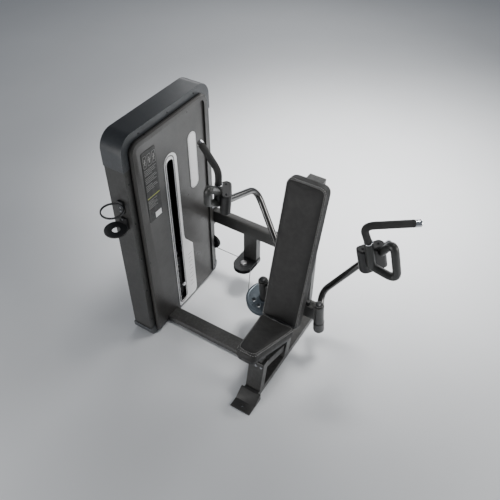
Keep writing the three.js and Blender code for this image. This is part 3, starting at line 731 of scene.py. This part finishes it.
def make_arm(tag):
    side = SIDES[tag]
    body = "arm_" + tag

    def p(corner):
        return mm(CENTRE_X + side * corner[0], corner[1], corner[2])

    bm = bmesh.new()
    sweep(bm, bent([*map(p, ARM_CORNERS), axis_point(side, 246)], ARM_BEND, 18), ARM_RADIUS, 32)
    from_bmesh("arm_bar_" + tag, bm, "gloss_black", body, "arm_tube_" + tag)

    elbow, ring, corner, tip = p(ELBOW), p(RING), p(GRIP_CORNER), p(GRIP_TIP)
    lift = (ring - elbow).normalized()
    along = (corner - ring).normalized()
    reach = (tip - corner).normalized()
    bm = bmesh.new()
    sweep(bm, bent([elbow, *map(p, LOOP_CORNERS[tag])], LOOP_BEND, 14), LOOP_RADIUS, 28)
    bar(bm, [elbow, ring], SOCKET_RADIUS, 0.0025, 32)
    from_bmesh("d_handle_" + tag, bm, "handle_coat", body, "handle_frame_" + tag)
    bm = bmesh.new()
    out = lift.cross(reach).normalized()
    for height in (0.045, 0.12):
        screw(bm, elbow + lift * height + out * (SOCKET_RADIUS - 0.0005), out, 0.0055, 0.003)
    from_bmesh("handle_screws_" + tag, bm, "bright_steel", body)

    bm = bmesh.new()
    bar(bm, [ring + lift * 0.0003, ring + lift * 0.008], COLLAR_RADIUS, 0.0018, 40)
    bar(bm, bent([ring, corner, tip + reach * 0.004], GRIP_BEND, 10), 0.012, 0.001, 20)
    lathe(bm, scaled([
        (0, 32), (14.5, 32), (17.4, 30.8), (18.9, 28), (19.2, 25), (18.6, 3), (18, 0.6), (0, 0.6),
    ]), tip, reach)
    lathe(bm, scaled([(5, 31.2), (5, 33), (8.5, 33), (9, 32.6), (9, 31.2)]), tip, reach, 32)
    from_bmesh("grip_chrome_" + tag, bm, "chrome", body, "grip_bar_" + tag)
    bm = bmesh.new()
    path = bent([ring + along * 0.012, corner, tip], GRIP_BEND, 16)
    points, radii = domed(path, SLEEVE_RADIUS, 0.0035)
    sweep(bm, points, radii, 32)
    for end, way in ((ring + along * 0.020, along), (tip - reach * 0.008, -reach)):
        lathe(bm, scaled([
            (18.4, -2.4), (19.4, -1.8), (19.7, 0), (19.4, 1.8), (18.4, 2.4), (18.4, -2.4),
        ]), end, way, 32)
    from_bmesh("grip_cover_" + tag, bm, "grip_rubber", body, "grip_sleeve_" + tag)
    make_hub_lid(side, tag, body)


HUB_FOOT = (453, 406, 958)  # from the middle of the seat, in mm
HUB_HEIGHT = 154
HUB_TURN = math.radians(56)
HUB_LEAN = (0.182, 0.152)  # drift to the middle and to the front, for each mm up
HUB_LOBE = 49


def make_hub_lid(side, tag, body):
    """Shallow cap plate with a rim and a screw on top of the hub."""
    turn = HUB_TURN if side > 0 else math.pi - HUB_TURN
    foot_x, foot_y, foot_z = HUB_FOOT
    lean_x, lean_y = side * -HUB_LEAN[0], -HUB_LEAN[1]

    def at(u, v, h):
        x = u * math.cos(turn) - v * math.sin(turn)
        y = u * math.sin(turn) + v * math.cos(turn)
        return mm(
            CENTRE_X + side * foot_x + x + lean_x * h, foot_y + y + lean_y * h, foot_z + h,
        )

    bm = bmesh.new()
    loops = []
    for grow, level in ((24, -1), (24, 1.4), (22.6, 2.2), (20.5, 2.2), (19.4, 0.8)):
        loop = []
        for k in range(48):
            a = math.tau * k / 48
            shift = HUB_LOBE if math.cos(a) > 0 else -HUB_LOBE
            spot = at(shift + grow * math.cos(a), grow * math.sin(a), HUB_HEIGHT + level)
            loop.append(bm.verts.new(spot))
        loops.append(loop)
    for near, far in zip(loops, loops[1:]):
        for i in range(48):
            j = (i + 1) % 48
            bm.faces.new((near[i], near[j], far[j], far[i]))
    bm.faces.new(loops[-1])
    from_bmesh("hub_lid_" + tag, bm, "black_nylon", body)
    bm = bmesh.new()
    for u in (-46, 46):
        screw(bm, at(u, 0, HUB_HEIGHT + 0.8), UP, 0.007, 0.003)
    from_bmesh("hub_screws_" + tag, bm, "black_steel", body)


# ---------------------------------------------------------------- wheels and bolts

def make_pulleys():
    wheels = {
        "top_pulley_front": (mm(-45, 381, 1434), RIGHTWARD),
        "top_pulley_rear": (mm(-45, 675, 1434), RIGHTWARD),
        "exit_pulley": (mm(4, 724, 283), REARWARD),
        "guide_pulley": (mm(284, 675, 234), UP),
    }
    for name, (centre, axis) in wheels.items():
        half = [
            (6.4, 9), (13, 9), (14, 8.4), (14.4, 6), (16, 5.2), (38, 5.2), (40, 6.4),
            (41, 8.6), (42, 9), (53, 9), (54, 8), (53.6, 6.6),
        ]
        groove = [(49.6, 3.8), (46.6, 2.4), (45.7, 0)]
        profile = half + groove
        profile = profile + [(r, -h) for r, h in reversed(profile[:-1])]
        profile.append(profile[0])
        bm = bmesh.new()
        lathe(bm, scaled(profile), centre, axis, 64)
        from_bmesh(name + "_wheel", bm, "black_nylon", BODY_OF[name], name)
        bm = bmesh.new()
        for side in (-1, 1):
            lathe(bm, scaled([
                (6.3, 8.9), (6.3, 9.3), (8, 9.3), (8.6, 8.8), (10.6, 8.8), (11.2, 9.3), (12.6, 9.3),
                (12.6, 8.9),
            ]), centre, axis * side, 40)
        from_bmesh(name + "_bearing", bm, "bright_steel", BODY_OF[name])


def make_cover_screws():
    bm = bmesh.new()
    for y in (22, 728):
        for z in (150, 420, 690, 960, 1230):
            screw(bm, mm(0.2, y, z), RIGHTWARD, 0.0062, 0.0022)
    for y in (140, 375, 610):
        screw(bm, mm(4.2, y, 1478), RIGHTWARD, 0.0055, 0.002)
    for z in (90, 640):
        for y in (60, 690):
            screw(bm, mm(28.0, y, z), RIGHTWARD, 0.0045, 0.0016)
    for y in (40, 710):
        for z in (90, 500, 900, 1300):
            screw(bm, mm(-131.2, y, z), -RIGHTWARD, 0.0055, 0.002)
    from_bmesh("cover_screws", bm, "black_steel", "machine")


def make_frame_bolts():
    bm = bmesh.new()
    for x in (752, 786, 820):
        bolt(bm, mm(x, 14.5, 238), direction(0, -1, 0.19), 0.0055)
    for y in (180, 240):
        bolt(bm, mm(700, y, 50.3), UP, 0.008)
    for y in (732, 754):
        bolt(bm, mm(7, y, 577.5), RIGHTWARD, 0.006)
    bolt(bm, mm(721, 763, 549.3), UP, 0.008)
    for x in (-1, 1):
        screw(bm, mm(CENTRE_X + x * 34, 700, 50.3), UP, 0.008, 0.004)
    from_bmesh("frame_bolts", bm, "bright_steel", "machine")


def make_pivot_caps():
    for tag, side in SIDES.items():
        bm = bmesh.new()
        lathe(bm, scaled([(0, 5), (8, 4.6), (15, 3), (19, 0.6), (19, -1)]),
              axis_point(side, -12), PIVOT_AXIS, 48)
        lathe(bm, scaled([(0, 5), (14, 4.6), (22, 3), (26, 0.6), (26, -1)]),
              axis_point(side, 264), -PIVOT_AXIS, 48)
        from_bmesh("pivot_caps_" + tag, bm, "black_steel", "arm_" + tag)


def make_guide_cap():
    bm = bmesh.new()
    lathe(bm, scaled([
        (0, 15.2), (12, 15), (18, 14.2), (21.5, 12), (23.2, 9), (23.4, 4), (24.4, 3.4), (24.6, 0),
    ]), mm(284, 675, 250), UP, 56)
    from_bmesh("guide_cap", bm, "bolt_grey", "machine")


CAM_BOLTS = 5
CAM_BOLT_RING = 0.094


def make_cam_fittings():
    bm = bmesh.new()
    centre = axis_point(-1, 200)
    lathe(bm, scaled([(104, 20.2), (104, 22.4), (106, 23.4), (112, 23.4), (115, 22), (115, 19.8)]),
          centre, PIVOT_AXIS, 72)
    fore = direction(0, -math.cos(TILT), -math.sin(TILT))
    for k in range(CAM_BOLTS):
        turn = 0.35 + k * 0.72
        spot = centre + (-RIGHTWARD * math.cos(turn) + fore * math.sin(turn)) * CAM_BOLT_RING
        bolt(bm, spot + PIVOT_AXIS * 0.020, PIVOT_AXIS, 0.006)
    lathe(bm, scaled([(36, 19.8), (36, 25), (38, 26.4), (46, 26.4), (48, 25), (48, 19.8)]),
          centre, PIVOT_AXIS, 56)
    from_bmesh("cam_fittings", bm, "cam_metal", "arm_left")


def make_holders():
    bm = bmesh.new()
    lathe(bm, scaled([
        (57, -4), (58, -5), (64, -5), (65, -4), (65, 4), (64, 5), (58, 5), (57, 4), (57, -4),
    ]), mm(-57, -75, 1096), UP, 72)
    block(bm, mm(-75, -14, 1036), mm(-39, -0.3, 1116))
    bevel(from_bmesh("bottle_hoop", bm, "black_steel", "machine", "bottle_ring"), 0.0012)
    bm = bmesh.new()
    lathe(bm, scaled([
        (23, -5), (24, -6), (65, -6), (66, -5), (66, 3.2), (65, 4), (62.8, 4), (62, 3), (62, 0.4),
        (61, 0), (25, 0), (24, 1.2), (23, 0.8), (23, -5),
    ]), mm(-59, -72, 962), UP, 72)
    block(bm, mm(-85, -14, 922), mm(-33, -0.3, 1002))
    bevel(from_bmesh("bottle_dish", bm, "black_steel", "machine", "bottle_tray"), 0.0012)
    bm = bmesh.new()
    for x, z in ((-57, 1050), (-57, 1078), (-59, 934), (-59, 990)):
        screw(bm, mm(x, -14, z), -REARWARD, 0.006, 0.003)
    from_bmesh("holder_screws", bm, "bright_steel", "machine")


# ---------------------------------------------------------------- cover print and painted slot shade

def outline_strip(bm, low, high, radius, width, x0, x1, steps=10):
    """Raised line round a rounded rectangle in the Y-Z plane."""
    loops = []
    for inset, x in ((0, x0), (0, x1), (width, x1), (width, x0)):
        loop = []
        r = radius - inset
        for cy, cz, start in (
            (high[0] - radius, high[1] - radius, 0), (low[0] + radius, high[1] - radius, 90),
            (low[0] + radius, low[1] + radius, 180), (high[0] - radius, low[1] + radius, 270),
        ):
            for k in range(steps + 1):
                a = math.radians(start + 90 * k / steps)
                loop.append(bm.verts.new(mm(x, cy + r * math.cos(a), cz + r * math.sin(a))))
        loops.append(loop)
    for near, far in zip(loops, loops[1:]):
        count = len(near)
        for i in range(count):
            j = (i + 1) % count
            bm.faces.new((near[i], near[j], far[j], far[i]))


CARD_FACE = 18.8
CARD_LEFT = 126
BAR_LENGTHS = (96, 84, 91, 60, 88, 95, 72, 90, 52, 86, 93, 64)
TRIM_FACE = 19.8


def make_print():
    """Generic marks only: bars in place of words, plain frames in place of pictures; the dark band
    round the slot lip is painted shade.
    """
    face = CARD_FACE
    bm = bmesh.new()
    for y in (126, 163, 200):
        outline_strip(bm, (y, 1268), (y + 26, 1340), 4, 1.6, face, face + 0.35)
        block(bm, mm(face, y + 10, 1284), mm(face + 0.35, y + 16, 1322))
        block(bm, mm(face, y + 5, 1302), mm(face + 0.35, y + 21, 1306))
    for k, length in enumerate(BAR_LENGTHS):
        z = 1250 - k * 10.5 - (8 if k > 3 else 0) - (8 if k > 7 else 0)
        block(bm, mm(face, CARD_LEFT, z), mm(face + 0.3, CARD_LEFT + length, z + 2.4))
    for k, length in enumerate(BAR_LENGTHS[2:8]):
        z = 1046 - k * 10
        block(bm, mm(face, CARD_LEFT, z), mm(face + 0.3, CARD_LEFT + length * 0.8, z + 2.2))
    from_bmesh("card_print", bm, "print_grey", "machine")
    bm = bmesh.new()
    block(bm, mm(face, 124, 1064), mm(face + 0.35, 226, 1070))
    from_bmesh("card_line", bm, "print_green", "machine")
    bm = bmesh.new()
    block(bm, mm(face, 170, 908), mm(face + 0.5, 222, 946))
    from_bmesh("card_tag", bm, "silver_trim", "machine")
    bm = bmesh.new()
    outline_strip(bm, (299.2, 55.2), (364.8, 1210.8), 30, 2.4, 19.6, 22.4)
    from_bmesh("slot_lip", bm, "silver_trim", "machine", angle=50)
    bm = bmesh.new()
    # dark band round the slot lip: painted shade standing in for the trim's shaded inner bevel
    outline_strip(bm, (290, 44), (374, 1234), 42, 7, 19.7, 20.2)
    from_bmesh("slot_painted_shade_band", bm, "dark_print_and_painted_shade", "machine")
    bm = bmesh.new()
    outline_strip(bm, (513, 890), (579, 1265), 32, 1.0, TRIM_FACE, 20.3)
    for k in range(9):
        z = 120 + k * 36
        block(bm, mm(TRIM_FACE, 418, z), mm(20.3, 418 + (26 if k % 2 else 38), z + 2))
    from_bmesh("trim_marks", bm, "dark_print_and_painted_shade", "machine")


# ---------------------------------------------------------------- all pieces

# finishes of the pieces made here, besides the record's own
# the piping is the pad's vinyl painted lighter: a painted highlight along the seam
SLOTS["piping"] = paint("piping", (0.05, 0.05, 0.05), (0.08, 0.08, 0.08), 0.26, bump=0.1)
SLOTS["thread"] = paint("thread", (0.42, 0.42, 0.41), (0.55, 0.55, 0.54), 0.55,
                        grain=2400, bump=0.3)
SLOTS["handle_coat"] = paint("handle_coat", (0.020, 0.021, 0.020), (0.030, 0.031, 0.029), 0.38,
                             wear=(0.14, 0.14, 0.13))
SLOTS["bolt_grey"] = paint("bolt_grey", (0.30, 0.30, 0.31), (0.38, 0.38, 0.39), 0.4, Metallic=0.7)
SLOTS["print_grey"] = paint("print_grey", (0.30, 0.30, 0.29), (0.40, 0.40, 0.39), 0.6, bump=0.05)
SLOTS["print_green"] = paint("print_green", (0.42, 0.46, 0.06), (0.5, 0.55, 0.1), 0.6, bump=0.05)
# dark finish: print on the trim marks, painted shade on the band round the slot
SLOTS["dark_print_and_painted_shade"] = paint("dark_print_and_painted_shade", (0.10, 0.10, 0.10), (0.15, 0.15, 0.15), 0.6, bump=0.05)

EDGE_WIDTH = {
    "top_cap": 0.0045, "tower_shoe": 0.003, "tower_band": 0.0015, "front_cover": 0.0035,
    "base_beam": 0.004, "floor_beam": 0.004, "front_post": 0.004, "back_upright": 0.004,
    "rear_post": 0.004, "upper_beam": 0.004, "front_foot": 0.002, "seat_stem": 0.003,
    "weight_plate": 0.002, "cam_wheel": 0.0015, "guide_bracket": 0.001,
    "slot_trim": 0.0008, "name_plate": 0.001, "instruction_card": 0.0004,
}
REMADE = {
    "seat_pad", "back_pad", "bottle_ring", "bottle_tray", "exit_pulley", "guide_pulley",
    "top_pulley_front", "top_pulley_rear", "steel_cable",
}
for tag in SIDES:
    for stem in ("arm_tube_", "handle_frame_", "grip_bar_", "grip_sleeve_"):
        REMADE.add(stem + tag)

for node_name, node in NODES.items():
    dress(node, slot_of(node_name))
    if node_name not in REMADE:
        key = "weight_plate" if node_name.startswith("weight_plate") else node_name
        refine(node_name, EDGE_WIDTH.get(key, 0.0012))

make_cushions()
for tag in SIDES:
    make_arm(tag)
make_pulleys()
make_cover_screws()
make_frame_bolts()
make_pivot_caps()
make_guide_cap()
make_cam_fittings()
make_holders()
make_print()


# ---------------------------------------------------------------- studio

FLOOR_REACH = 14
AMBIENT = 0.19
AMBIENT_TINT = (0.86, 0.91, 1.0, 1)
POOL_PLACE, POOL_AIM = (0.5, 1.6, 5.4), Vector((-0.25, 1.75, 0))
POOL_ANGLE = math.radians(44)
POOL_POWER = 2900


def make_studio():
    data = bpy.data.meshes.new("floor")
    r = FLOOR_REACH
    corners = [(-r, -r, 0), (r, -r, 0), (r, r, 0), (-r, r, 0)]
    data.from_pydata(corners, [], [(0, 1, 2, 3)])
    floor = bpy.data.objects.new("floor", data)
    bpy.context.scene.collection.objects.link(floor)
    n = Nodes("studio_floor")
    colour = n.mix(n.ramp(n.noise(0.9, 3), 0, 1), (0.70, 0.72, 0.74), (0.74, 0.76, 0.78))
    roughness = n.ramp(n.noise(30), 0.6, 0.72)
    floor.data.materials.append(n.finish(colour, roughness, n.noise(220), 0.03))
    world = bpy.data.worlds.new("studio")
    bpy.context.scene.world = world
    world.use_nodes = True
    background = world.node_tree.nodes["Background"]
    background.inputs[0].default_value = AMBIENT_TINT
    background.inputs[1].default_value = AMBIENT
    lights = (  # name, place, width, power, tint
        ("key", (3.9, 0.9, 1.8), 1.6, 92, (1, 0.98, 0.95)),
        ("fill", (-1.6, -4.0, 0.95), 1.8, 105, (1, 0.985, 0.97)),
        ("back", (-2.2, 4.8, 3.4), 3.0, 75, (1, 1, 1)),
        ("rim", (1.2, 3.8, 2.4), 2.2, 60, (1, 1, 1)),
    )
    aim = Vector((0.1, 0, 0.7))
    for name, place, width, power, tint in lights:
        light = bpy.data.lights.new(name, "AREA")
        light.shape = "SQUARE"
        light.size = width
        add_lamp(light, place, aim, power, tint)
    pool = bpy.data.lights.new("pool", "SPOT")
    pool.spot_size = POOL_ANGLE
    pool.spot_blend = 1.0
    pool.shadow_soft_size = 0.9
    add_lamp(pool, POOL_PLACE, POOL_AIM, POOL_POWER, (1, 0.985, 0.97))


def add_lamp(light, place, aim, power, tint):
    light.energy = power
    light.color = tint
    lamp = bpy.data.objects.new(light.name, light)
    lamp.location = place
    lamp.rotation_euler = (aim - Vector(place)).to_track_quat("-Z", "Y").to_euler()
    bpy.context.scene.collection.objects.link(lamp)


make_studio()
